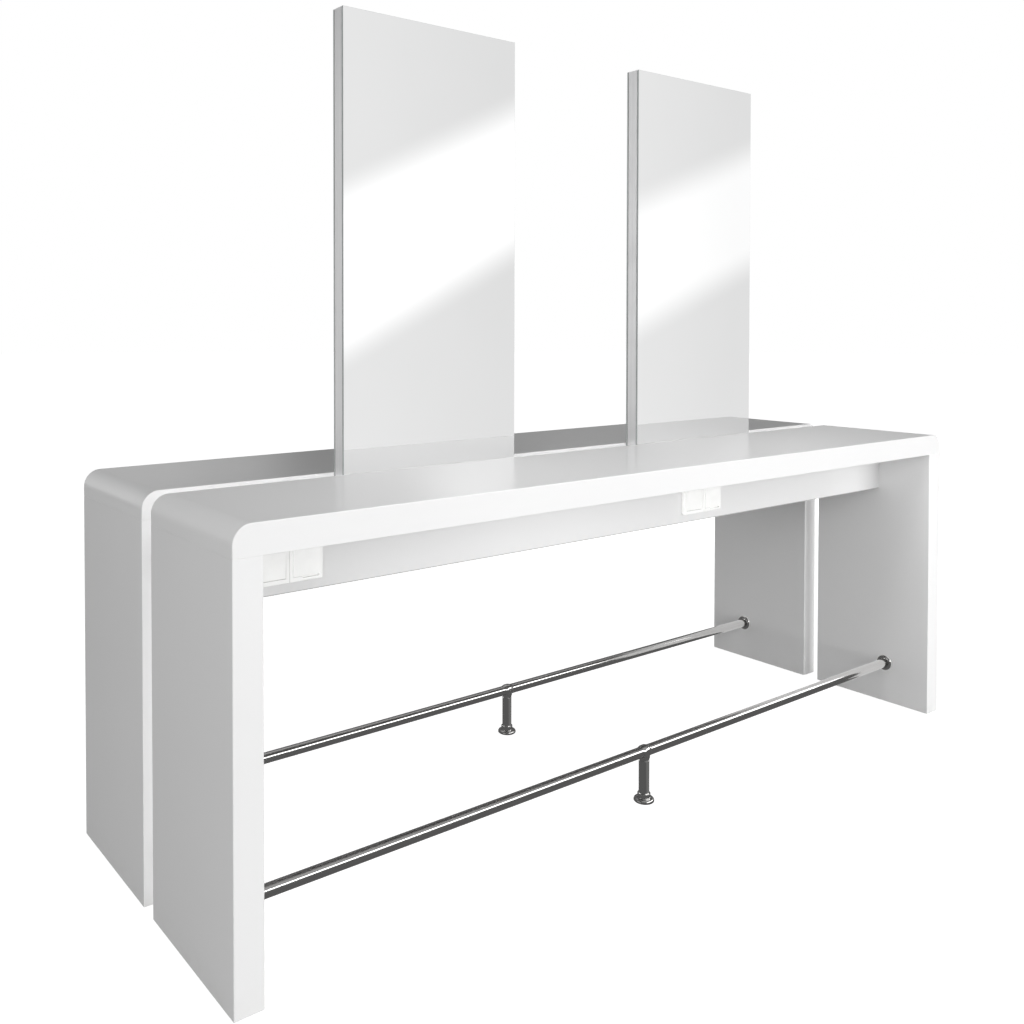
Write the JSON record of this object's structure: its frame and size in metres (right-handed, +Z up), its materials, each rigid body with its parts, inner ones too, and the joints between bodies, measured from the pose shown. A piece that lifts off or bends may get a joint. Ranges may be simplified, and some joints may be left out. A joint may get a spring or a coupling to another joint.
{
  "type": "double sided salon station",
  "caption": "White gloss double sided salon styling station: bench tables back to back, tall double faced mirrors in the gap, steel foot rails and power points under the tops.",
  "frame": {"origin": "on the floor, at the centre of the footprint", "axes": "+X to the right along the station seen from the front side, +Y towards the rear side, +Z up"},
  "size_m": [2.4, 0.81, 1.94],
  "materials": {
    "white_lacquer": "white gloss lacquer on board",
    "beech": "plain turned beech",
    "glide_nylon": "moulded nylon",
    "mirror_board": "grey painted board",
    "edge_aluminium": "satin anodised edging",
    "mirror_glass": "silvered plate glass with a polished arris",
    "black_bond": "black mirror adhesive",
    "raw_board": "bare fibre board",
    "zinc_steel": "zinc plated",
    "stainless_tube": "ground and polished along the tube",
    "stainless_turned": "turned and polished",
    "black_rubber": "moulded rubber",
    "tray_steel": "white powder coat",
    "grey_plastic": "fine spark texture",
    "box_plastic": "fine spark texture",
    "contact_brass": "drawn",
    "spring_steel": "oiled wire",
    "socket_white": "glossy moulding",
    "lid_white": "glossy moulding",
    "rocker_white": "glossy moulding"
  },
  "bodies": {
    "root": {"front_top": "white_lacquer", "rear_top": "white_lacquer", "front_left_leg": "white_lacquer", "front_right_leg": "white_lacquer", "rear_left_leg": "white_lacquer", "rear_right_leg": "white_lacquer", "front_apron": "white_lacquer", "rear_apron": "white_lacquer", "front_back_rail": "white_lacquer", "rear_back_rail": "white_lacquer", "dowels": "beech", "leg_glides": "glide_nylon", "left_mirror_core": "mirror_board", "right_mirror_core": "mirror_board", "left_mirror_edge_trim": "edge_aluminium", "right_mirror_edge_trim": "edge_aluminium", "left_mirror_front_glass": "mirror_glass", "left_mirror_rear_glass": "mirror_glass", "right_mirror_front_glass": "mirror_glass", "right_mirror_rear_glass": "mirror_glass", "mirror_bond_sheets": "black_bond", "mirror_packers": "raw_board", "gap_spacers": "raw_board", "rail_bolts": "zinc_steel", "rail_nuts_washers": "zinc_steel", "front_foot_rail": "stainless_tube", "rear_foot_rail": "stainless_tube", "rail_end_plates": "zinc_steel", "rail_end_covers": "stainless_turned", "rail_tees": "stainless_turned", "rail_posts": "stainless_tube", "post_feet": "stainless_turned", "post_foot_pads": "black_rubber", "grub_screws": "zinc_steel", "corner_brackets": "zinc_steel", "wood_screws": "zinc_steel", "cable_trays": "tray_steel", "junction_boxes": "grey_plastic", "supply_glands": "grey_plastic", "socket_boxes": "box_plastic", "switch_bodies": "grey_plastic", "socket_contacts": "contact_brass", "lid_hinge_pins": "zinc_steel", "lid_springs": "spring_steel", "front_left_socket_frame": "socket_white", "front_left_socket": "socket_white", "front_right_socket_frame": "socket_white", "front_right_socket": "socket_white", "rear_left_socket_frame": "socket_white", "rear_left_socket": "socket_white", "rear_right_socket_frame": "socket_white", "rear_right_socket": "socket_white"},
    "front_left_flap": {"front_left_socket_lid": "lid_white"},
    "front_left_switch": {"front_left_switch_rocker": "rocker_white"},
    "front_right_flap": {"front_right_socket_lid": "lid_white"},
    "front_right_switch": {"front_right_switch_rocker": "rocker_white"},
    "rear_left_flap": {"rear_left_socket_lid": "lid_white"},
    "rear_left_switch": {"rear_left_switch_rocker": "rocker_white"},
    "rear_right_flap": {"rear_right_socket_lid": "lid_white"},
    "rear_right_switch": {"rear_right_switch_rocker": "rocker_white"}
  },
  "joints": [
    {"name": "front_left_flap_hinge", "type": "hinge", "parent": "root", "child": "front_left_flap", "pos_m": [-0.9675, -0.247, 0.7762], "axis": [-1, 0, 0], "range_deg": [0, 100], "stiffness_Nm_per_rad": 0.012, "springref_deg": -25.78},
    {"name": "front_left_switch_tilt", "type": "hinge", "parent": "root", "child": "front_left_switch", "pos_m": [-1.0425, -0.242, 0.748], "axis": [-1, 0, 0], "range_deg": [0, 5]},
    {"name": "front_right_flap_hinge", "type": "hinge", "parent": "root", "child": "front_right_flap", "pos_m": [0.2885, -0.247, 0.7762], "axis": [-1, 0, 0], "range_deg": [0, 100], "stiffness_Nm_per_rad": 0.012, "springref_deg": -25.78},
    {"name": "front_right_switch_tilt", "type": "hinge", "parent": "root", "child": "front_right_switch", "pos_m": [0.2135, -0.242, 0.748], "axis": [-1, 0, 0], "range_deg": [0, 5]},
    {"name": "rear_left_flap_hinge", "type": "hinge", "parent": "root", "child": "rear_left_flap", "pos_m": [-0.2885, 0.247, 0.7762], "axis": [1, 0, 0], "range_deg": [0, 100], "stiffness_Nm_per_rad": 0.012, "springref_deg": -25.78},
    {"name": "rear_left_switch_tilt", "type": "hinge", "parent": "root", "child": "rear_left_switch", "pos_m": [-0.2135, 0.242, 0.748], "axis": [1, 0, 0], "range_deg": [0, 5]},
    {"name": "rear_right_flap_hinge", "type": "hinge", "parent": "root", "child": "rear_right_flap", "pos_m": [0.9675, 0.247, 0.7762], "axis": [1, 0, 0], "range_deg": [0, 100], "stiffness_Nm_per_rad": 0.012, "springref_deg": -25.78},
    {"name": "rear_right_switch_tilt", "type": "hinge", "parent": "root", "child": "rear_right_switch", "pos_m": [1.0425, 0.242, 0.748], "axis": [1, 0, 0], "range_deg": [0, 5]}
  ]
}
